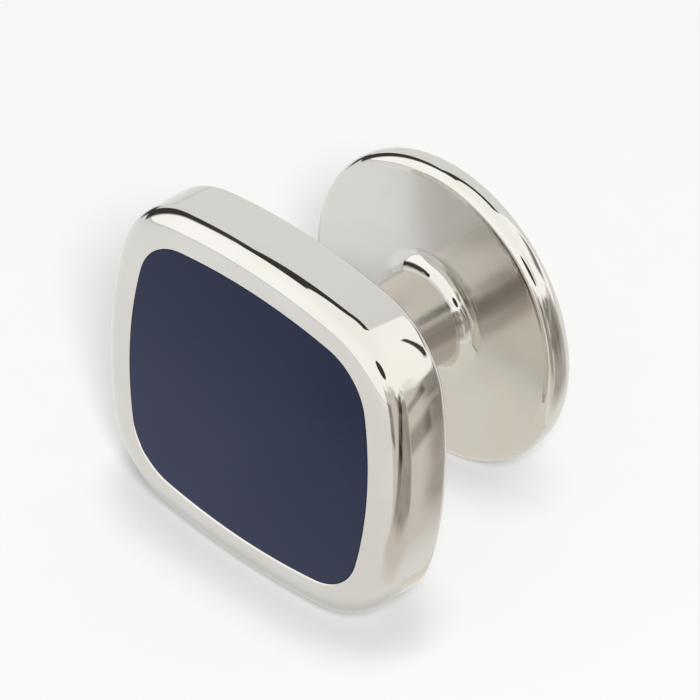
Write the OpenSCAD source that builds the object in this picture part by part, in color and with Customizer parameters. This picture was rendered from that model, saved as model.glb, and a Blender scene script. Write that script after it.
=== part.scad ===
// Dress stud: a cushion-shaped metal head with a flush enamel panel, on a short
// post with a round backing disc. It lies as it does when put down by itself:
// on a long side of the head and on the rim of the disc, with the face leaning back.
// Millimetres. +Z is up, the face looks towards -Y, and the origin is on the
// surface that it lies on, under the middle of its bounding box.

/* [Head] */
// Width of the head, across its longer direction
head_w = 12; // [11:0.1:14]
// Height of the head, across its shorter direction
head_h = 11.2; // [10.6:0.1:13]
// Thickness of the head, from the face to its flat back
head_t = 2.3; // [1.8:0.1:3]
// Radius of the two short sides, which bulge a little
side_r = 14.5; // [12:0.5:30]
// Radius of the two long sides, which bulge a little less
long_side_r = 20; // [15:0.5:40]
// Radius of the four corners
corner_r = 3.05; // [2.2:0.05:3.6]
// Rounding of the edge round the face
face_round = 0.7; // [0.3:0.05:0.8]
// Rounding of the edge round the back
back_round = 0.35; // [0.2:0.05:0.6]

/* [Enamel] */
// Width of the metal border round the enamel
border_w = 1.15; // [0.9:0.05:1.8]
// Thickness of the enamel
enamel_t = 0.5; // [0.3:0.05:0.8]
// Gap between the enamel and the wall of its pocket
enamel_gap = 0.02; // [0.01:0.01:0.05]

/* [Post] */
// Diameter of the post
post_d = 3; // [2:0.1:3.5]
// Room between the head and the disc, which the buttonholes take
grip = 5.3; // [4.5:0.1:7]
// Radius of the flare where the post meets the disc
flare_r = 0.55; // [0.2:0.05:0.7]
// Radius of the solder fillet where the post meets the head
solder_r = 0.2; // [0.1:0.05:0.4]

/* [Disc] */
// Diameter of the backing disc
disc_d = 9.9; // [8:0.1:10.4]
// Thickness of the backing disc
disc_t = 0.9; // [0.8:0.05:1.2]
// Rounding of the disc's two edges
disc_round = 0.4; // [0.2:0.05:0.4]

/* [Hidden] */
$fn = 96;
// Straight steps that the outline and the rounded edges are made in
side_steps = 6;
corner_steps = 10;
face_steps = 6;
back_steps = 4;
// Extra depth that keeps a cut clear of the face that it opens
clear = 1;
// Length that the post runs on inside the head and the disc
root = 0.4;

disc_r = disc_d / 2;
post_r = post_d / 2;
disc_front = head_t + grip;
disc_back = disc_front + disc_t;

// Outline of the head: the centres of two sides, and the corner's centre, from which
// the corner's arc is tangent to both
side_c = [head_w / 2 - side_r, 0];
long_c = [0, head_h / 2 - long_side_r];
side_to_long = long_c - side_c;
reach_side = side_r - corner_r;
reach_long = long_side_r - corner_r;
apart = norm(side_to_long);
along = (reach_side ^ 2 - reach_long ^ 2 + apart ^ 2) / (2 * apart);
aside = sqrt(reach_side ^ 2 - along ^ 2);
unit = side_to_long / apart;
corner_c = side_c + along * unit + aside * [-unit.y, unit.x];
// Directions in which a short side hands over to the corner, and the corner to the long side
to_corner = atan2(corner_c.y, corner_c.x - side_c.x);
to_long = atan2(corner_c.y - long_c.y, corner_c.x);
// Each arc: its centre, its radius, the directions where it starts and ends, and its steps
arcs = [
    [side_c, side_r, -to_corner, to_corner, side_steps],
    [corner_c, corner_r, to_corner, to_long, corner_steps],
    [long_c, long_side_r, to_long, 180 - to_long, side_steps],
    [[-corner_c.x, corner_c.y], corner_r, 180 - to_long, 180 - to_corner, corner_steps],
    [-side_c, side_r, 180 - to_corner, 180 + to_corner, side_steps],
    [-corner_c, corner_r, 180 + to_corner, 180 + to_long, corner_steps],
    [-long_c, long_side_r, 180 + to_long, 360 - to_long, side_steps],
    [[corner_c.x, -corner_c.y], corner_r, 360 - to_long, 360 - to_corner, corner_steps]
];

// Points round the outline, moved in by inset
function outline(inset) = [
    for (a = arcs)
        for (i = [0:a[4] - 1])
            let (direction = a[2] + (a[3] - a[2]) * i / a[4])
                a[0] + (a[1] - inset) * [cos(direction), sin(direction)]
];

// Section of the head's rim, from the face to the back: how far in from the outline, and how deep
rim = [
    for (i = [0:face_steps])
        let (turn = 90 * i / face_steps)
            [face_round * (1 - sin(turn)), face_round * (1 - cos(turn))],
    for (i = [0:back_steps])
        let (turn = 90 * i / back_steps)
            [back_round * (1 - cos(turn)), head_t - back_round * (1 - sin(turn))]
];

// How it lies: the head's lower back edge and the disc's rim both touch z = 0
head_edge = [head_t - back_round, head_h / 2 - back_round];
disc_edge = [disc_back - disc_round, disc_r - disc_round];
run = disc_edge.x - head_edge.x;
drop = head_edge.y - disc_edge.y;
lean = atan2(drop, run) + asin((back_round - disc_round) / norm([run, drop]));
lift = head_edge.x * sin(lean) + head_edge.y * cos(lean) + back_round;
front_y = face_round * cos(lean) - (head_h / 2 - face_round) * sin(lean) - face_round;
back_y = disc_edge.x * cos(lean) + disc_edge.y * sin(lean) + disc_round;

// Solid head with rounded edges: the outline at each step of the rim's section
module head_blank() {
    rings = [for (step = rim) [for (p = outline(step[0])) [p.x, p.y, step[1]]]];
    count = len(rings[0]);
    last = len(rings) - 1;
    side_faces = [
        for (r = [0:last - 1])
            for (i = [0:count - 1])
                let (next = (i + 1) % count)
                    [r * count + i, (r + 1) * count + i, (r + 1) * count + next, r * count + next]
    ];
    polyhedron(
        points = [for (ring = rings) each ring],
        faces = concat(
            [[for (i = [0:count - 1]) i]],
            side_faces,
            [[for (i = [count - 1:-1:0]) last * count + i]]
        )
    );
}

// Flat slab of the outline moved in by inset, from one depth behind the face to another
module slab(inset, from, to) {
    translate([0, 0, from])
        linear_extrude(to - from)
            polygon(outline(inset));
}

// Head with an open pocket for the enamel
module head() {
    difference() {
        head_blank();
        slab(border_w, -clear, enamel_t);
    }
}

// Quarter-round fillet between a wall at x = 0 and a face at y = 0, with a root inside both
module fillet(r) {
    difference() {
        translate([-root, -root])
            square([r + root, r + root]);
        translate([r, r])
            circle(r);
    }
}

// Half section of the post and the disc, turned about the stud's axis
module post_and_disc_section() {
    translate([0, head_t - root])
        square([post_r, grip + 2 * root]);
    translate([post_r, head_t])
        fillet(solder_r);
    translate([post_r, disc_front])
        mirror([0, 1])
            fillet(flare_r);
    translate([0, disc_front])
        square([disc_r - disc_round, disc_t]);
    translate([0, disc_front + disc_round])
        square([disc_r, disc_t - 2 * disc_round]);
    for (y = [disc_front + disc_round, disc_back - disc_round])
        translate([disc_r - disc_round, y])
            circle(disc_round);
}

// Lays down a piece that is modelled with its face at z = 0 and its back up
module lay_down() {
    translate([0, -(front_y + back_y) / 2, lift])
        rotate([-90 - lean, 0, 0])
            children();
}

// Head, post and backing disc, soldered into one piece of polished metal
module stud_body() {
    color("gainsboro")
        lay_down() {
            head();
            rotate_extrude()
                post_and_disc_section();
        }
}

// Navy enamel, flush with the metal border
module enamel_panel() {
    color("midnightblue")
        lay_down()
            slab(border_w + enamel_gap, 0, enamel_t);
}

stud_body();
enamel_panel();
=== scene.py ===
# %% [markdown]
# # A dress stud, rebuilt as a lesson
#
# A dress stud closes the front of an evening shirt. This one has a cushion-shaped
# metal head with a panel of navy enamel, a short post and a round backing disc.
# It lies on the table as it does when it is put down by itself: on one long side of
# its head and on the rim of its disc.
#
# The imported model comes first. It is the fixed frame: every new piece has to lie where
# the model's own piece lies, so the model is loaded before anything is made, and its
# box is kept and printed.

# %% Load the frame
from math import asin, atan2, cos, degrees, hypot, pi, radians, sin, sqrt, tan

import bmesh
import bpy
from mathutils import Euler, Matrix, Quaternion, Vector


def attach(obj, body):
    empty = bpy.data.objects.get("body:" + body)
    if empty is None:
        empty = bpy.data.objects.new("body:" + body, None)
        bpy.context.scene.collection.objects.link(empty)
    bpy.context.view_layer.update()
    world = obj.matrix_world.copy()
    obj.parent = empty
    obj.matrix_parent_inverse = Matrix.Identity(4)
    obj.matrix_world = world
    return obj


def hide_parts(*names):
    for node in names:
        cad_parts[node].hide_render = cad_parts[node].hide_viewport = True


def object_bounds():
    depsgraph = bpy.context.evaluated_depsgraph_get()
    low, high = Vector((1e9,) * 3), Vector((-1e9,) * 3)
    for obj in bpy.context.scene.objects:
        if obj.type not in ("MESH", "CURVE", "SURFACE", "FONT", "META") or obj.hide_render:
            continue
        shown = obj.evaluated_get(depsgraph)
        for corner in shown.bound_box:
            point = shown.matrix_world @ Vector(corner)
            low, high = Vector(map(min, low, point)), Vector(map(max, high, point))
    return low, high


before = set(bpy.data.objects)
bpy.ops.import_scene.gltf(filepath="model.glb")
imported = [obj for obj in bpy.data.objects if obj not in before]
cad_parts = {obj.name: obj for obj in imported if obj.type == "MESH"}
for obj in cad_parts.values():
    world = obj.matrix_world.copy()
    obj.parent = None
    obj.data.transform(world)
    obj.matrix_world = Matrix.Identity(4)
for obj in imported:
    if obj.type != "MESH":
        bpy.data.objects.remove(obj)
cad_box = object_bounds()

MM = 0.001
print("frame box in mm:", [[round(v / MM, 2) for v in corner] for corner in cad_box])

# %% [markdown]
# ## The camera
#
# The picture looks down on the stud from its right, from far away: lines that are
# parallel on the stud stay parallel in the picture. A long lens at a distance of about
# thirty-six stud widths gives that. The camera is placed by two angles round the middle
# of the frame's box, so that it could be walked round the stud by changing one number,
# and it is rolled by two degrees, as a camera in the hand is.

# %% Place the camera
CAMERA_AZIMUTH = radians(46.3)
CAMERA_ELEVATION = radians(42.1)
CAMERA_ROLL = radians(-1.9)
LENS_MM = 775
PICTURE_WIDTH = 20.3 * MM


def direction(azimuth, elevation):
    """Unit vector from the stud towards a place round it; azimuth 0 is in front of the face."""
    return Vector((sin(azimuth) * cos(elevation), -cos(azimuth) * cos(elevation), sin(elevation)))


def place_camera():
    bpy.ops.object.camera_add()
    camera = bpy.context.object
    camera.name = "camera"
    camera.data.lens = LENS_MM
    camera.data.dof.use_dof = False
    distance = PICTURE_WIDTH * LENS_MM / camera.data.sensor_width
    towards_camera = direction(CAMERA_AZIMUTH, CAMERA_ELEVATION)
    middle = (cad_box[0] + cad_box[1]) / 2
    camera.location = middle + towards_camera * distance
    camera.rotation_mode = "QUATERNION"
    level = (-towards_camera).to_track_quat("-Z", "Y")
    camera.rotation_quaternion = level @ Quaternion((0, 0, 1), CAMERA_ROLL)
    camera.data.clip_start = distance * 0.1
    camera.data.clip_end = distance * 10
    bpy.context.scene.camera = camera
    print("camera stands", round(distance, 3), "m away")


place_camera()

# %% [markdown]
# ## The sizes
#
# All sizes are the frame's own, in millimetres. The stud is modelled upright, with its
# face on z = 0 and its back up, because a compass and a lathe need a straight axis.
# It is laid down afterwards, leaning back by the angle at which both the head and the
# disc touch the table.

# %% Sizes
HEAD_W, HEAD_H, HEAD_T = 12.0, 11.2, 2.3
SIDE_R, LONG_SIDE_R, CORNER_R = 14.5, 20.0, 3.05
FACE_ROUND, BACK_ROUND = 0.7, 0.35
BORDER_W, LIP_ROUND = 1.15, 0.08
ENAMEL_T, ENAMEL_GAP = 0.5, 0.004
POST_R, GRIP, FLARE_R, SOLDER_R, ROOT = 1.5, 5.3, 0.55, 0.2, 0.3
DISC_R, DISC_T, DISC_ROUND = 4.95, 0.9, 0.4
DISC_FRONT = HEAD_T + GRIP
DISC_BACK = DISC_FRONT + DISC_T


def lying_place():
    """Lean angle and place of the upright stud when it lies on its head and its disc."""
    run = (DISC_BACK - DISC_ROUND) - (HEAD_T - BACK_ROUND)
    drop = (HEAD_H / 2 - BACK_ROUND) - (DISC_R - DISC_ROUND)
    lean = atan2(drop, run) + asin((BACK_ROUND - DISC_ROUND) / hypot(run, drop))
    lift = (HEAD_T - BACK_ROUND) * sin(lean) + (HEAD_H / 2 - BACK_ROUND) * cos(lean) + BACK_ROUND
    front = FACE_ROUND * cos(lean) - (HEAD_H / 2 - FACE_ROUND) * sin(lean) - FACE_ROUND
    back = (DISC_BACK - DISC_ROUND) * cos(lean) + (DISC_R - DISC_ROUND) * sin(lean) + DISC_ROUND
    return lean, Vector((0, -(front + back) / 2, lift)) * MM


LEAN, LYING_AT = lying_place()
print("leans back by", round(degrees(LEAN), 2), "degrees")

# %% [markdown]
# ## Drawing with a compass
#
# The outline of the head is eight arcs: two short sides, two long sides and four
# corners, each tangent to the next. A cube with rounded corners would have straight
# sides, and a subdivided one would only come near the arcs, which shows in polished
# metal. So each arc is drawn as with a compass: one point is set down at its start and
# spun about the arc's centre. All pieces are drawn with the same helpers.

# %% Edit mode and selection
def edit():
    """Goes into edit mode on the active object and hands over its mesh."""
    if bpy.context.object.mode != "EDIT":
        bpy.ops.object.mode_set(mode="EDIT")
    return bmesh.from_edit_mesh(bpy.context.object.data)


def let_go():
    """Leaves edit mode and deselects every object."""
    if bpy.context.object and bpy.context.object.mode == "EDIT":
        bpy.ops.object.mode_set(mode="OBJECT")
    bpy.ops.object.select_all(action="DESELECT")


def select_everything():
    edit()
    bpy.ops.mesh.select_all(action="SELECT")


def select(kind, test):
    """Selects only the edges or faces that pass the test, and counts them."""
    edit()
    bpy.ops.mesh.select_all(action="DESELECT")
    bpy.ops.mesh.select_mode(type={"edges": "EDGE", "faces": "FACE"}[kind])
    mesh = edit()
    chosen = [part for part in getattr(mesh, kind) if test(part)]
    for part in chosen:
        part.select_set(True)
    mesh.select_flush_mode()
    bmesh.update_edit_mesh(bpy.context.object.data)
    return len(chosen)


# %% Point, line and arc
# Axes that arcs turn about, and turns
ACROSS, UP = (0, -1, 0), (0, 0, 1)
QUARTER, WHOLE = pi / 2, 2 * pi


def set_down_point(name, place):
    """A new object of one point, in edit mode: a small plane merged at its centre."""
    let_go()
    bpy.ops.mesh.primitive_plane_add(size=MM)
    bpy.context.object.name = bpy.context.object.data.name = name
    edit()
    bpy.ops.mesh.select_mode(type="VERT")
    select_everything()
    bpy.ops.mesh.merge(type="CENTER")
    bpy.ops.transform.translate(value=Vector(place) * MM)
    return bpy.context.object


def extrude_by(x, y, z):
    """Extrudes what is selected by a way in millimetres."""
    bpy.ops.mesh.extrude_region_move(TRANSFORM_OT_translate={"value": Vector((x, y, z)) * MM})


def line_to(place):
    """Extrudes the selected point in a straight line to a place, in millimetres."""
    here = next(vert.co.copy() for vert in edit().verts if vert.select)
    extrude_by(*(Vector(place) - here / MM))


def arc_round(centre, turn, steps, axis):
    """Spins what is selected about a centre, by a turn that counts against the clock."""
    centre = Vector(centre) * MM
    bpy.ops.mesh.spin(steps=steps, angle=-turn, center=centre, axis=axis, use_auto_merge=False)


def merge_doubles():
    """Merges the points where one line or arc ends and the next one starts."""
    select_everything()
    bpy.ops.mesh.remove_doubles(threshold=0.0005 * MM)


def face_outwards():
    select_everything()
    bpy.ops.mesh.normals_make_consistent(inside=False)


def round_edges(test, size, steps):
    """Rounds the edges that pass the test, with a radius in millimetres."""
    count = select("edges", test)
    bpy.ops.mesh.bevel(
        offset=size * MM, offset_type="OFFSET", segments=steps, profile=0.5, affect="EDGES")
    print(count, "edges rounded by", size, "mm")


# %% Arcs of the head's outline
SIDE_STEPS, CORNER_STEPS = 28, 28


def tangent_corner():
    """The two sides' centres, the corner's centre, and the directions where the arcs meet."""
    side = Vector((HEAD_W / 2 - SIDE_R, 0))
    long_side = Vector((0, HEAD_H / 2 - LONG_SIDE_R))
    reach_side, reach_long = SIDE_R - CORNER_R, LONG_SIDE_R - CORNER_R
    apart = (long_side - side).length
    along = (reach_side ** 2 - reach_long ** 2 + apart ** 2) / (2 * apart)
    aside = sqrt(reach_side ** 2 - along ** 2)
    unit = (long_side - side) / apart
    corner = side + unit * along + Vector((-unit.y, unit.x)) * aside
    to_corner = atan2(corner.y, corner.x - side.x)
    to_long = atan2(corner.y - long_side.y, corner.x)
    return side, long_side, corner, to_corner, to_long


side_c, long_c, corner_c, TO_CORNER, TO_LONG = tangent_corner()
mirrored_c = Vector((-corner_c.x, corner_c.y))
side_arc = (2 * TO_CORNER, SIDE_STEPS)
corner_arc = (TO_LONG - TO_CORNER, CORNER_STEPS)
long_arc = (pi - 2 * TO_LONG, SIDE_STEPS)
# Each arc: its centre, its turn and its steps
ARCS = [
    (side_c, *side_arc), (corner_c, *corner_arc),
    (long_c, *long_arc), (mirrored_c, *corner_arc),
    (-side_c, *side_arc), (-corner_c, *corner_arc),
    (-long_c, *long_arc), (-mirrored_c, *corner_arc),
]
print("corner centre", [round(v, 3) for v in corner_c], "mm")
print("corner turns by", round(degrees(corner_arc[0]), 1), "degrees")


def draw_cushion(name, inset, depth):
    """A filled cushion outline, moved in by inset, at a depth behind the face."""
    start = side_c + (SIDE_R - inset) * Vector((cos(TO_CORNER), -sin(TO_CORNER)))
    piece = set_down_point(name, (start.x, start.y, depth))
    for centre, turn, steps in ARCS:
        arc_round((centre.x, centre.y, depth), turn, steps, UP)
    merge_doubles()
    bpy.ops.mesh.edge_face_add()
    print(name, "outline has", len(edit().verts), "points")
    return piece


# %% Tests by place
# How near counts as the same place, in millimetres
CLOSE, CLOSE_TO_LIP = 0.002, 0.01


def at_depth(part, depth):
    """True if all of an edge's or face's points lie at a depth behind the face."""
    return all(abs(vert.co.z / MM - depth) < CLOSE for vert in part.verts)


def distance_in(vert):
    """How far a point lies inside the head's outline, in millimetres."""
    x, y = abs(vert.co.x) / MM, abs(vert.co.y) / MM
    if atan2(y, x - side_c.x) <= TO_CORNER:
        return SIDE_R - hypot(x - side_c.x, y)
    if atan2(y - long_c.y, x) >= TO_LONG:
        return LONG_SIDE_R - hypot(x, y - long_c.y)
    return CORNER_R - hypot(x - corner_c.x, y - corner_c.y)


def on_pocket_lip(edge):
    in_place = all(abs(distance_in(vert) - BORDER_W) < CLOSE_TO_LIP for vert in edge.verts)
    return at_depth(edge, 0) and in_place


# %% [markdown]
# ## The head
#
# The head is one solid cushion of metal. Its face edge is rounded by 0.7 mm and its back
# edge by 0.35 mm, and a shallow pocket holds the enamel. It could be sculpted from a
# subdivided block, but a jeweller stamps and polishes it from a flat blank, and the
# same order gives clean reflections here: the outline is extruded to its thickness,
# the two edges are bevelled, and the face is inset and sunk for the pocket. The
# pocket's edge gets its own fine bevel, because polishing leaves no sharp lip, and that
# lip is the thin light line round the enamel.

# %% Extrude the blank and round its edges
head = draw_cushion("head", 0, 0)
extrude_by(0, 0, HEAD_T)
face_outwards()
round_edges(lambda edge: at_depth(edge, 0), FACE_ROUND, 14)
round_edges(lambda edge: at_depth(edge, HEAD_T), BACK_ROUND, 8)

# %% Sink the pocket for the enamel
select("faces", lambda face: at_depth(face, 0))
bpy.ops.mesh.inset(thickness=(BORDER_W - FACE_ROUND) * MM, depth=0, use_even_offset=True)
extrude_by(0, 0, ENAMEL_T)
round_edges(on_pocket_lip, LIP_ROUND, 4)

# %% [markdown]
# ## Finishing a piece
#
# Each piece is laid down on the table first, and its place goes into its mesh, so that
# its object sits at the origin as the frame's own objects do.
#
# Polished metal shows every fault in its normals. Flat faces next to a rounding have to
# keep their own direction, and the rounding has to turn smoothly from one to the
# other. A Weighted Normal modifier does that: the large flat faces win over the small
# ones.

# %% Finishing helpers
def take(piece):
    """Selects one object and makes it the active one."""
    let_go()
    piece.select_set(True)
    bpy.context.view_layer.objects.active = piece


def lay_down(piece):
    take(piece)
    piece.rotation_euler = (-pi / 2 - LEAN, 0, 0)
    piece.location = LYING_AT
    bpy.ops.object.transform_apply(location=True, rotation=True, scale=True)


def shade(piece):
    take(piece)
    bpy.ops.object.shade_smooth()
    weigh = piece.modifiers.new("flat faces keep their normal", "WEIGHTED_NORMAL")
    weigh.mode = "FACE_AREA_WITH_ANGLE"
    weigh.weight = 50
    bpy.ops.object.modifier_apply(modifier=weigh.name)


def finish_piece(piece):
    lay_down(piece)
    shade(piece)
    places = [vert.co / MM for vert in piece.data.vertices]
    corners = [[round(pick(p[i] for p in places), 3) for i in range(3)] for pick in (min, max)]
    print(piece.name, len(piece.data.polygons), "faces, box in mm:", corners)


finish_piece(head)

# %% [markdown]
# ## The enamel
#
# The enamel is a thin plate of coloured glass that fills the pocket and is ground flush
# with the metal. Ground glass ends in a crisp edge, so it is drawn with the same compass,
# extruded to its thickness and given only a hair-fine bevel. A hair of a gap is left
# round it, which reads as the joint between glass and metal.

# %% Draw the enamel plate
ENAMEL_EDGE, ENAMEL_DEPTH = 0.02, 0.03
enamel = draw_cushion("enamel", BORDER_W + ENAMEL_GAP, ENAMEL_DEPTH)
extrude_by(0, 0, ENAMEL_T - ENAMEL_DEPTH)
face_outwards()
round_edges(lambda edge: at_depth(edge, ENAMEL_DEPTH), ENAMEL_EDGE, 3)
finish_piece(enamel)

# %% [markdown]
# ## The post and the backing disc
#
# Post, flare and disc are turned work: everything on them is round about one axis. A
# cylinder and a disc pushed together would miss the flare where the post
# runs out into the disc, and the rim, which is rounded on both sides. So half of the
# section is drawn with lines and arcs, from the axis to the axis, and spun all the way
# round, as on a lathe. The post starts inside the head, under its small solder fillet.

# %% Draw half of the section
def draw_section(name):
    """Half section in the XZ plane. Arcs turn about -Y, so that +X turns towards +Z."""
    rim_x = DISC_R - DISC_ROUND
    piece = set_down_point(name, (0, 0, HEAD_T - ROOT))
    line_to((POST_R + SOLDER_R, 0, HEAD_T - ROOT))
    line_to((POST_R + SOLDER_R, 0, HEAD_T))
    arc_round((POST_R + SOLDER_R, 0, HEAD_T + SOLDER_R), -QUARTER, 8, ACROSS)
    line_to((POST_R, 0, DISC_FRONT - FLARE_R))
    arc_round((POST_R + FLARE_R, 0, DISC_FRONT - FLARE_R), -QUARTER, 14, ACROSS)
    line_to((rim_x, 0, DISC_FRONT))
    arc_round((rim_x, 0, DISC_FRONT + DISC_ROUND), QUARTER, 10, ACROSS)
    line_to((DISC_R, 0, DISC_BACK - DISC_ROUND))
    arc_round((rim_x, 0, DISC_BACK - DISC_ROUND), QUARTER, 10, ACROSS)
    line_to((0, 0, DISC_BACK))
    return piece


post_and_disc = draw_section("post_and_disc")
section = {(round(v.co.x / MM, 3), round(v.co.z / MM, 3)) for v in edit().verts}
print("the section has", len(section), "points")

# %% Spin it round the stud's axis
select_everything()
arc_round((0, 0, 0), -WHOLE, 160, UP)
merge_doubles()
face_outwards()
finish_piece(post_and_disc)

# %% [markdown]
# ## Writing materials as sums
#
# A material is a sum of small things: a tone, a few smudges, some hairlines. Joining
# nodes one by one hides that sum, so a socket is wrapped in a small class here, and an
# expression on it adds the Math nodes. Every other node comes from one method. All
# patterns read the Object coordinates, in millimetres, because the pieces sit at the
# origin and the patterns must stay on them.

# %% A socket that can be calculated with
def fill(socket, value):
    """Links a wire to a socket, or sets the socket's own value."""
    if isinstance(value, Wire):
        socket.node.id_data.links.new(value.socket, socket)
    else:
        socket.default_value = value


class Wire:
    def __init__(self, socket):
        self.socket = socket

    def node(self, kind, settings=None, inputs=None, output=0):
        """Adds a node: its settings first, then the values or links of its sockets."""
        made = self.socket.node.id_data.nodes.new(kind)
        for name, value in (settings or {}).items():
            setattr(made, name, value)
        for name, value in (inputs or {}).items():
            fill(made.inputs[name], value)
        return Wire(made.outputs[output])

    def math(self, operation, first, second):
        return self.node("ShaderNodeMath", {"operation": operation}, {0: first, 1: second})

    def __add__(self, other):
        return self.math("ADD", self, other)

    def __sub__(self, other):
        return self.math("SUBTRACT", self, other)

    def __rsub__(self, other):
        return self.math("SUBTRACT", other, self)

    def __mul__(self, other):
        return self.math("MULTIPLY", self, other)

    def __truediv__(self, other):
        return self.math("DIVIDE", self, other)

    def __rtruediv__(self, other):
        return self.math("DIVIDE", other, self)

    __radd__, __rmul__ = __add__, __mul__

    def or_more(self, other):
        """The larger of two values."""
        return self.math("MAXIMUM", self, other)

    def step(self, low, high):
        """Smooth step: 0 below low, 1 above high."""
        settings = {"interpolation_type": "SMOOTHSTEP"}
        inputs = {"Value": self, "From Min": low, "From Max": high}
        return self.node("ShaderNodeMapRange", settings, inputs)

    def band(self, start, end, soft):
        """1 between start and end, with soft sides inside them."""
        return self.step(start, start + soft) * (1 - self.step(end - soft, end))

    def blend(self, first, second):
        """A colour that runs from the first to the second as this wire runs from 0 to 1."""
        inputs = {0: self, 6: first, 7: second}
        return self.node("ShaderNodeMix", {"data_type": "RGBA"}, inputs, output=2)

    def part(self, number):
        """One coordinate of a place: 0 is x, 1 is y and 2 is z."""
        return self.node("ShaderNodeSeparateXYZ", {}, {0: self}, output=number)

    def noise(self, waves, detail=2.0, turn=(0, 0, 0)):
        """Noise on a place in millimetres, with so many waves per millimetre on each axis."""
        inputs = {"Vector": self, "Rotation": turn, "Scale": waves}
        placed = self.node("ShaderNodeMapping", {}, inputs)
        inputs = {"Vector": placed, "Scale": 1.0, "Detail": detail}
        return self.node("ShaderNodeTexNoise", {}, inputs)

    def bump(self, depth):
        """A normal that is bent by this height, which is so many millimetres deep."""
        inputs = {"Height": self, "Strength": 1.0, "Distance": depth * MM}
        return self.node("ShaderNodeBump", {}, inputs)


# %% A new material
def in_millimetres(nodes):
    """The Object coordinates of what wears a material, in millimetres."""
    place = Wire(nodes.new("ShaderNodeTexCoord").outputs["Object"])
    inputs = {0: place, "Scale": 1 / MM}
    return place.node("ShaderNodeVectorMath", {"operation": "SCALE"}, inputs)


def new_material(name):
    """A material with its shader, and its coordinates in millimetres."""
    material = bpy.data.materials.new(name)
    material.use_nodes = True
    nodes = material.node_tree.nodes
    shader = next(n for n in nodes if n.type == "BSDF_PRINCIPLED")
    return material, shader, in_millimetres(nodes)


def clear_material(name):
    """A material without a shader, its output, and its coordinates in millimetres."""
    material = bpy.data.materials.new(name)
    material.use_nodes = True
    nodes = material.node_tree.nodes
    nodes.clear()
    output = nodes.new("ShaderNodeOutputMaterial")
    return material, output, in_millimetres(nodes)


def wear(piece, material):
    piece.data.materials.clear()
    piece.data.materials.append(material)


# %% Faces found by their place in the upright stud
# How far the back runs out into its rounding, and the disc and the post into the flare
BACK_RUN_OUT, RUN_OUT = 0.005, 0.02


def upright(place):
    """The place of a point in the upright stud: x and y about its axis, z behind the face."""
    turned_back = Euler((pi / 2 + LEAN, 0, 0)).to_matrix() @ (place - LYING_AT)
    return turned_back / MM


def on_head_back(face):
    return abs(upright(face.center).z - HEAD_T) < BACK_RUN_OUT


def on_disc_front(face):
    spot = upright(face.center)
    flat = abs(spot.z - DISC_FRONT) < RUN_OUT
    return flat and hypot(spot.x, spot.y) < DISC_R - DISC_ROUND


def on_post(face):
    spot = upright(face.center)
    before_flare = spot.z < DISC_FRONT - FLARE_R * 0.9
    return before_flare and hypot(spot.x, spot.y) < POST_R + RUN_OUT


def wear_on_faces(piece, material, test):
    """Gives a second material to the faces that pass the test."""
    piece.data.materials.append(material)
    slot_number = len(piece.data.materials) - 1
    chosen = [face for face in piece.data.polygons if test(face)]
    for face in chosen:
        face.material_index = slot_number
    print(material.name, "is on", len(chosen), "faces of", piece.name)


# %% [markdown]
# ## Polished metal
#
# The head, the post and the disc are polished by hand and plated. A perfect mirror looks
# drawn, so three things are added, each at its real size: a tone that changes a
# little over millimetres in clouds, smudges that dull the gloss in places, and hairlines a few
# hundredths of a millimetre wide that run mostly one way, as a polishing wheel leaves
# them. Over the clouds the silver is painted warmer towards +x, the right side: a painted
# warm reflection of the brown that side mirrors. The hairlines and a long soft wave go
# into a Bump node, and they are so shallow that they only make the reflections swim a little.
#
# A polishing wheel reaches the outside best. The back of the head stays matt, and the
# post and the front of the disc stay satin, which blurs what they mirror. Painting
# blurred reflections on them would look wrong from every other side, so one function
# makes all the finishes from a dullness and a tone of silver, and the faces that get a
# finish of their own are found by their place. The post's silver is darker and rosier:
# painted shade, for the shade that falls between the head and the disc.

# %% Polished metal
SILVER = (0.712, 0.7, 0.668, 1)
# SILVER_WARM is the tone of the warm clouds and of the painted warm reflection towards +x
SILVER_WARM = (0.655, 0.627, 0.578, 1)
SILVER_MATT = (0.84, 0.825, 0.79, 1)
# Painted shade: a darker, rosy silver for the post, which stands between the head and the disc
SILVER_SHADED_POST = (0.59, 0.555, 0.52, 1)
# Dullness of the finishes, and what smudges and hairlines add to it
POLISHED, MATT, SATIN, POST_SATIN = 0.035, 0.12, 0.18, 0.2
SMUDGE_DULL, HAIRLINE_DULL = 0.05, 0.04
# Depth of the waves and hairlines, in millimetres
RELIEF = 0.004


def polished_metal(name, turn, dullness, silver):
    """Metal that is warmer in clouds, and painted warmer towards +x as a warm reflection of
    the brown on that side. Its hairlines run along x before they are turned by so many radians."""
    material, shader, here = new_material(name)
    shader.inputs["Metallic"].default_value = 1.0
    clouds = here.noise((0.35, 0.35, 0.35), 3.0).step(0.35, 0.75)
    # The +x part of this tone is a painted warm reflection of the brown on the right; the clouds are
    # a random tone
    tone = clouds * 0.4 + here.part(0).step(1, 6) * 0.6
    smudges = here.noise((0.9, 0.7, 0.9), 4.0).step(0.5, 0.72)
    hairlines = here.noise((0.5, 16, 16), 2.0, turn)
    cross_lines = here.noise((14, 0.8, 14), 1.0, (0.3, turn[1] + 0.5, 0.2))
    wave = here.noise((0.45, 0.45, 0.45), 0.0)
    fill(shader.inputs["Base Color"], tone.blend(silver, SILVER_WARM))
    roughness = dullness + smudges * SMUDGE_DULL + hairlines.step(0.55, 0.75) * HAIRLINE_DULL
    fill(shader.inputs["Roughness"], roughness)
    height = wave * 0.6 + hairlines * 0.012 + cross_lines * 0.006
    fill(shader.inputs["Normal"], height.bump(RELIEF))
    return material


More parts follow.
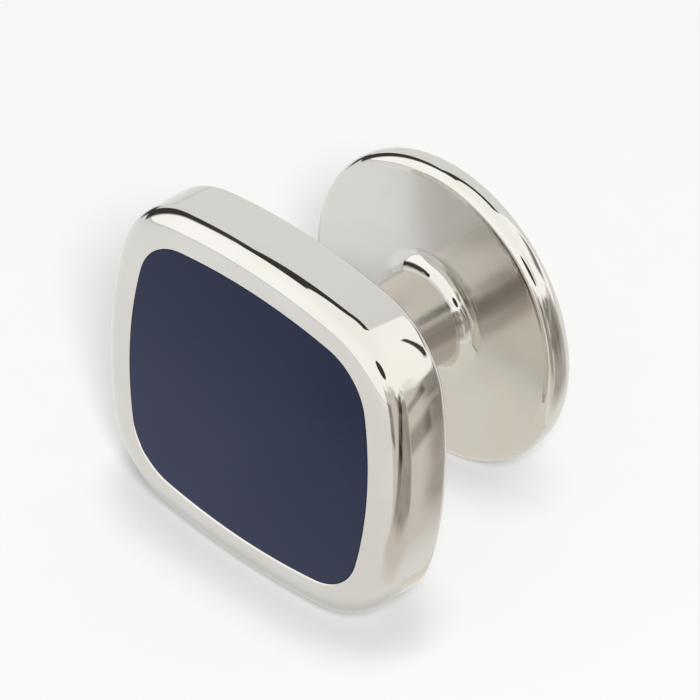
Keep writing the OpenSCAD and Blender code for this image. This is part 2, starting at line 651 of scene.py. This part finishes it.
# %% Put the metal on the pieces
STAMPED_TURN, TURNED_TURN = (0, 0.2, 0), (0, 1.3, 0.1)
head_metal = polished_metal("polished_head_metal", STAMPED_TURN, POLISHED, SILVER)
back_metal = polished_metal("matt_back_metal", STAMPED_TURN, MATT, SILVER_MATT)
turned_metal = polished_metal("polished_turned_metal", TURNED_TURN, POLISHED, SILVER)
# The post wears the darker silver: painted shade between the head and the disc
shaded_post_metal = polished_metal("shaded_post_metal", TURNED_TURN, POST_SATIN, SILVER_SHADED_POST)
satin_metal = polished_metal("satin_disc_metal", TURNED_TURN, SATIN, SILVER)
wear(head, head_metal)
wear(post_and_disc, turned_metal)
wear_on_faces(head, back_metal, on_head_back)
wear_on_faces(post_and_disc, shaded_post_metal, on_post)
wear_on_faces(post_and_disc, satin_metal, on_disc_front)

# %% [markdown]
# ## Navy enamel
#
# Enamel is glass with colour in it. Seen close, the colour is a little cloudy, and the
# ground surface has a fine unevenness that shows only in its reflections. A dark base
# with a low gloss gives the deep navy: a strong gloss would wash it out with the
# white of the table, which the face mirrors. Over the clouds the navy is painted lighter
# low down and on the left and darker towards the top and the right: painted shade.

# %% Navy enamel
# Painted shade: NAVY_LOW is the lighter navy low down and on the left, NAVY_HIGH the darker navy at
# the top and right
NAVY_LOW = (0.033, 0.04, 0.076, 1)
NAVY_HIGH = (0.0, 0.006, 0.03, 1)
NAVY_GRAIN = (0.018, 0.026, 0.062, 1)


def navy_enamel():
    material, shader, here = new_material("navy_enamel")
    shader.inputs["IOR"].default_value = 1.5
    shader.inputs["Specular IOR Level"].default_value = 0.112
    clouds = here.noise((0.13, 0.13, 0.13), 2.0).step(0.35, 0.65)
    grain = here.noise((9, 9, 9), 2.0).step(0.45, 0.8)
    across, upwards = here.part(0).step(-6, 6), here.part(2).step(0, 11)
    # Painted shade: height and side make the navy darker towards the top and the right,
    #     and the clouds add a random tone
    painted_shade_and_clouds = upwards * 0.62 + across * 0.24 + clouds * 0.14
    colour = (grain * 0.2).blend(painted_shade_and_clouds.blend(NAVY_LOW, NAVY_HIGH), NAVY_GRAIN)
    fill(shader.inputs["Base Color"], colour)
    fill(shader.inputs["Roughness"], 0.06 + clouds * 0.03 + grain * 0.04)
    height = here.noise((0.5, 0.5, 0.5), 1.0) + here.noise((6, 6, 6), 1.0) * 0.01
    fill(shader.inputs["Normal"], height.bump(RELIEF))
    return material


navy = navy_enamel()
wear(enamel, navy)
for name, finish in (("stud_body", head_metal), ("enamel_panel", navy)):
    wear(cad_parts[name], finish)
    print(name, "wears", finish.name)

# %% [markdown]
# ## The tent and its cards
#
# Polished metal looks like what stands round it. Such studs are photographed on a white
# table in a white tent: the tent is the bright part of every reflection, and the dark
# lines that draw the edges come from the places where the tent is open. Here the world
# is the tent. A grey panel stands behind the stud, with a dark gap above it and a soft
# one at its left end, whose foot lies on the table. A round dark opening is where the
# camera looks in, and a light card under the post stands for the light that goes to and
# fro between the stud and the table. A small gap close behind the disc draws the thin
# line along the disc's right edge. All these cards show only in reflections, so the
# picture itself keeps its plain pale ground.

# %% Materials that glow
def glow(name, colour, strength=1.0):
    """A material that only gives out light."""
    material, output, here = clear_material(name)
    glowing = here.node("ShaderNodeEmission", {}, {"Color": (*colour, 1), "Strength": strength})
    fill(output.inputs["Surface"], glowing)
    return material


def fading(name, colour, density_of, shade=None, shading_of=None):
    """A glow that is as dense as density_of says at x, y, z in millimetres, and clear
    elsewhere. A shade is a second colour, which takes over where shading_of says so."""
    material, output, here = clear_material(name)
    x, y, z = (here.part(i) for i in range(3))
    clear = here.node("ShaderNodeBsdfTransparent")
    glowing = here.node("ShaderNodeEmission", {}, {"Color": (*colour, 1), "Strength": 1.0})
    if shade:
        shaded = here.node("ShaderNodeEmission", {}, {"Color": (*shade, 1), "Strength": 1.0})
        inputs = {0: shading_of(x, y, z), 1: glowing, 2: shaded}
        glowing = here.node("ShaderNodeMixShader", {}, inputs)
    inputs = {0: density_of(x, y, z), 1: clear, 2: glowing}
    fill(output.inputs["Surface"], here.node("ShaderNodeMixShader", {}, inputs))
    return material


# %% Cards that show only in reflections
def only_in_reflections(card, material):
    wear(card, material)
    for ray in ("camera", "diffuse", "shadow", "transmission", "volume_scatter"):
        setattr(card, "visible_" + ray, False)
    print("card", card.name, "has", len(card.data.polygons), "faces")


def curved_card(name, side_from, side_to, low, high, radius, material):
    """A card on a cylinder round the stud. Its sides are in degrees to the right of the
    camera, as seen from above, and its edges in degrees above the table."""
    foot, top = radius * tan(radians(low)), radius * tan(radians(high))
    start = CAMERA_AZIMUTH + radians(side_from)
    set_down_point(name, Vector((sin(start) * radius, -cos(start) * radius, foot)) / MM)
    extrude_by(0, 0, (top - foot) / MM)
    select_everything()
    arc_round((0, 0, 0), radians(side_to - side_from), 96, UP)
    let_go()
    only_in_reflections(bpy.context.object, material)


def round_card(name, side, elevation, half_angle, radius, material):
    """A round card that faces the stud, with its size as half an angle in degrees."""
    towards = direction(CAMERA_AZIMUTH + radians(side), radians(elevation))
    let_go()
    bpy.ops.mesh.primitive_circle_add(
        vertices=64, radius=radius * tan(radians(half_angle)), fill_type="NGON",
        location=towards * radius, rotation=towards.to_track_quat("Z", "Y").to_euler())
    card = bpy.context.object
    card.name = card.data.name = name
    only_in_reflections(card, material)


def flat_card(name, x_from, x_to, y_from, y_to, height, material):
    """A level card, with its sides in millimetres."""
    middle = Vector(((x_from + x_to) / 2, (y_from + y_to) / 2, height)) * MM
    let_go()
    bpy.ops.mesh.primitive_plane_add(size=MM, location=middle)
    card = bpy.context.object
    card.name = card.data.name = name
    card.scale = (x_to - x_from, y_to - y_from, 1)
    bpy.ops.object.transform_apply(location=True, rotation=True, scale=True)
    only_in_reflections(card, material)


def standing_card(name, x_from, x_to, y, z_from, z_to, material):
    """An upright card behind the stud, with its sides in millimetres."""
    set_down_point(name, (x_from, y, z_from))
    line_to((x_to, y, z_from))
    select_everything()
    extrude_by(0, 0, z_to - z_from)
    let_go()
    only_in_reflections(bpy.context.object, material)


# %% Panel, gaps and opening
DARK = (0.05, 0.045, 0.042)
FAR, NEAR = 0.5, 0.08


def gap_on_the_left(x, y, z):
    """Dense in the middle and soft towards both sides."""
    return y.step(-18, -4) * (1 - y.step(20, 25))


def gap_on_the_table(x, y, z):
    """The foot of the same gap: a wedge that starts 25 mm away from the stud."""
    slope = y / x * -1
    return (1 - x.step(-38, -25)) * slope.step(0.04, 0.16) * (1 - slope.step(0.34, 0.46))


black_gap = glow("black_gap", DARK)
grey_panel = glow("grey_panel", (1.0, 1.0, 0.99), 0.92)
soft_gap = fading("soft_gap", DARK, gap_on_the_left)
# Each card: its name, its sides, its edges, its distance in metres and its material
CURVED_CARDS = [
    ("gap_above_panel", 122, 231, 52.5, 66, FAR * 1.1, black_gap),
    ("panel_behind", 124, 225, 0, 52.5, FAR, grey_panel),
    ("gap_left", 205, 237, 0, 57, NEAR, soft_gap),
]
for card in CURVED_CARDS:
    curved_card(*card)
round_card("camera_opening", 14, 38.5, 10, FAR * 0.9, black_gap)

# %% Cards that lie on the table, and one that stands behind the disc
def gap_behind_disc(x, y, z):
    return x.step(5, 7) * (1 - x.step(12.5, 15)) * z.step(10.5, 13) * (1 - z.step(14.5, 17.5)) * 0.85


soft_gap_foot = fading("soft_gap_foot", DARK, gap_on_the_table)
bounce = glow("light_under_the_post", (1.0, 0.957, 0.88), 0.86)
soft_gap_behind = fading("soft_gap_behind", DARK, gap_behind_disc)
flat_card("gap_foot", -80, -24, -4, 34, 0.1, soft_gap_foot)
flat_card("light_under_the_post", -6, 6, -2.35, 3.3, 0.05, bounce)
standing_card("gap_behind_disc", 5, 15, 14, 10, 18, soft_gap_behind)

# %% [markdown]
# ## The warm card on the right
#
# Metal that mirrors only white and grey looks cold and empty. The side wall and the
# corner of the head mirror something brown on the right, with dark strokes where it
# begins and ends. A flat brown card would do that too, but its straight edges would
# show in the curved corner as if ruled. So this card curves up from its foot on the
# table, its sides fade and its top is broken by blotches. Two glows are mixed on it, a
# light brown and a dark one: a dark core in front, slanting bands in the middle and a
# softer brown behind. A thin rod above it draws the fine stroke along the corner's back.

# %% Where the warm card is
# Where the card's edges begin and end to fade, and the rod's sides, in millimetres
FRONT_SIDE, BACK_SIDE = (-9.6, -8.4), (8, 10.5)
FOOT_EDGE, TOP_EDGE = (6.4, 8.6), (11.2, 12.4)
ROD_SIDES, ROD_ENDS = (-3.27, -2.7), (11.2, 17.8)


def blotches(x, y, z):
    """Soft spots of about a millimetre, which break up edges and tones."""
    along = x.node("ShaderNodeCombineXYZ", {}, {"X": y, "Y": z, "Z": x})
    return along.noise((0.6, 0.6, 0.2), 1.5).step(0.3, 0.7)


def leaning(y, z):
    """Distance from a line that leans back by half its height."""
    return y - z * 0.5


def thin_rod(y, z):
    """A slanting rod above the card."""
    return leaning(y, z).band(*ROD_SIDES, 0.1) * z.band(*ROD_ENDS, 0.8)


def card_cover(x, y, z):
    """Where the card is: it ends in soft sides and a broken top, and the rod stands out."""
    ragged = z + blotches(x, y, z) * 1.2 + y.step(-4.5, -3) * 1.5
    sides = y.step(*FRONT_SIDE) * (1 - y.step(*BACK_SIDE))
    card = sides * (1 - ragged.step(*TOP_EDGE)) * x.step(*FOOT_EDGE)
    return card.or_more(thin_rod(y, z))


# %% How dark the warm card is
def shade_in_front(y, z):
    """A dark core that leans back, in a wider half tone, and a lighter flank before it."""
    core = leaning(y, z).band(-8.85, -6.65, 0.7) * (z.step(2, 7) * 0.48 + 0.46)
    wide = (y - z.step(5, 7) * 1.8).step(-6.6, -5.8) * (1 - y.step(-1.4, -0.6)) * 0.5
    flank = y.band(-9.6, -6.6, 0.6) * z.band(5.3, 9.8, 0.8) * 0.6
    return core.or_more(wide) * z.step(0.3, 2.2) * (1 - z.step(9.8, 10.8)) + flank


def shade_in_the_middle(y, z):
    """Two slanting bands."""
    upper = (z - y * 0.9).band(7.5, 8.8, 0.5) * 0.45
    lower = (z - y * 0.3).band(4.5, 6.4, 0.6) * 0.42
    return y.band(-0.9, 0.9, 0.3) * (upper + lower)


def shade_behind(y, z):
    """A soft brown, darker above, with one lighter band across it."""
    tone = (0.4 + z.step(3, 6) * 0.26) * (1 - (z - y * 0.3).band(6.3, 7.6, 0.5) * 0.35)
    edges = y.step(-0.1, 1.3) * z.step(-0.2, 0.8) * (1 - z.step(9.4, 10.4))
    return tone * edges * (1 - y.step(5.5, 9) * 0.5)


def card_shade(x, y, z):
    shade = shade_in_front(y, z) + shade_in_the_middle(y, z) + shade_behind(y, z)
    return shade * (0.85 + blotches(x, y, z) * 0.3) + thin_rod(y, z)


# %% Draw the warm card
CARD_FROM, CARD_TO, CARD_TOP = -11.0, 11.0, 18.0
CARD_FOOT, CARD_X, CARD_BEND, CARD_BASE = 6.4, 9.6, 1.4, 0.12
LIGHT_BROWN, DARK_BROWN = (0.8, 0.75, 0.7), (0.06, 0.043, 0.034)


def warm_card():
    """A low curved card beside the stud, from its foot on the table up to its top edge."""
    bend_x = CARD_X - CARD_BEND
    set_down_point("card_right", (CARD_FOOT, CARD_FROM, CARD_BASE))
    line_to((bend_x, CARD_FROM, CARD_BASE))
    arc_round((bend_x, CARD_FROM, CARD_BASE + CARD_BEND), QUARTER, 12, ACROSS)
    line_to((CARD_X, CARD_FROM, CARD_TOP))
    select_everything()
    extrude_by(0, CARD_TO - CARD_FROM, 0)
    let_go()
    warm_brown = fading("warm_brown", LIGHT_BROWN, card_cover, DARK_BROWN, card_shade)
    only_in_reflections(bpy.context.object, warm_brown)


warm_card()

# %% [markdown]
# ## The table and its shadows
#
# The table comes out almost white, with a soft grey shadow round the stud's foot. Lit
# by the tent alone it would be either grey or burnt out, so most of its light is its
# own: it glows, and an Ambient Occlusion node takes some of that glow away where the
# stud stands close above it, as in a real contact shadow. The longer shadow on the left
# comes from one soft lamp above the camera's right shoulder. Light linking lets the lamp
# reach the table only, so that it puts no second highlight on the metal. The tent itself
# is a little darker overhead, which keeps the top walls of the metal from burning out.

# %% Set up the table
TABLE_DARK, TABLE_LIGHT = (0.098, 0.098, 0.097, 1), (0.102, 0.102, 0.101, 1)
CONTACT_TONE, FULL_TONE = (0.62, 0.62, 0.62, 1), (1, 1, 1, 1)
CONTACT_REACH, TABLE_GLOW = 2.0, 0.58


def table_material():
    material, shader, here = new_material("white_table")
    grain = here.noise((0.8, 0.8, 0.8), 4.0)
    fill(shader.inputs["Base Color"], grain.blend(TABLE_DARK, TABLE_LIGHT))
    inputs = {"Distance": CONTACT_REACH * MM}
    near = here.node("ShaderNodeAmbientOcclusion", {"samples": 8}, inputs, output=1)
    # Right under the metal the glow comes back a little, as light does between the two
    open_to_light = near.step(0.62, 0.98).or_more(0.4 - near.step(0.2, 0.6) * 0.4)
    fill(shader.inputs["Emission Color"], open_to_light.blend(CONTACT_TONE, FULL_TONE))
    shader.inputs["Roughness"].default_value = 0.9
    shader.inputs["Specular IOR Level"].default_value = 0.0
    shader.inputs["Emission Strength"].default_value = TABLE_GLOW
    return material


def white_table():
    let_go()
    bpy.ops.mesh.primitive_circle_add(vertices=96, radius=FAR * 3, fill_type="NGON")
    table = bpy.context.object
    table.name = table.data.name = "table"
    wear(table, table_material())
    print("table is", FAR * 6, "m across")
    return table


table = white_table()

# %% A lamp above the camera's right shoulder
LAMP_SIDE, LAMP_RAISE = radians(7), radians(4)
LAMP_DISTANCE, LAMP_SIZE, LAMP_WATTS = 0.4, 0.08, 5.6


def key_lamp(lit):
    """A soft lamp that only draws the shadow on one object."""
    towards = direction(CAMERA_AZIMUTH + LAMP_SIDE, CAMERA_ELEVATION + LAMP_RAISE)
    facing = towards.to_track_quat("Z", "Y").to_euler()
    bpy.ops.object.light_add(type="AREA", location=towards * LAMP_DISTANCE, rotation=facing)
    lamp = bpy.context.object
    lamp.name = "key_lamp"
    lamp.data.shape = "DISK"
    lamp.data.size, lamp.data.energy = LAMP_SIZE, LAMP_WATTS
    lamp.visible_glossy = False
    receivers = bpy.data.collections.new("lit_by_the_key_lamp")
    receivers.objects.link(lit)
    lamp.light_linking.receiver_collection = receivers


key_lamp(table)

# %% Light the tent
TENT_SIDE, TENT_TOP = (1.0, 0.995, 0.975, 1), (0.93, 0.925, 0.905, 1)
TENT_LIGHT = 1.31


def tent_world():
    world = bpy.data.worlds.new("tent")
    bpy.context.scene.world = world
    world.use_nodes = True
    nodes = world.node_tree.nodes
    background = next(n for n in nodes if n.type == "BACKGROUND")
    towards = Wire(nodes.new("ShaderNodeTexCoord").outputs["Generated"])
    overhead = towards.part(2).step(0.55, 0.98)
    fill(background.inputs["Color"], overhead.blend(TENT_SIDE, TENT_TOP))
    background.inputs["Strength"].default_value = TENT_LIGHT


tent_world()
scene_view = bpy.context.scene.view_settings
scene_view.view_transform, scene_view.look = "Standard", "None"
print("tent shines with", TENT_LIGHT)

# %% [markdown]
# ## Tying the pieces to the frame
#
# Each new piece rides on a body and hides the imported piece it stands for. The head
# and the turned part are two pieces here and one soldered solid in the frame, so both
# stand for it.

# %% Tie the pieces to the frame
TIES = [
    (head, "stud_body", "polished_metal"),
    (post_and_disc, "stud_body", "polished_metal"),
    (enamel, "enamel_panel", "navy_enamel"),
]
for piece, node, slot in TIES:
    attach(piece, "root")
    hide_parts(node)
    print(piece.name, "stands for", node)
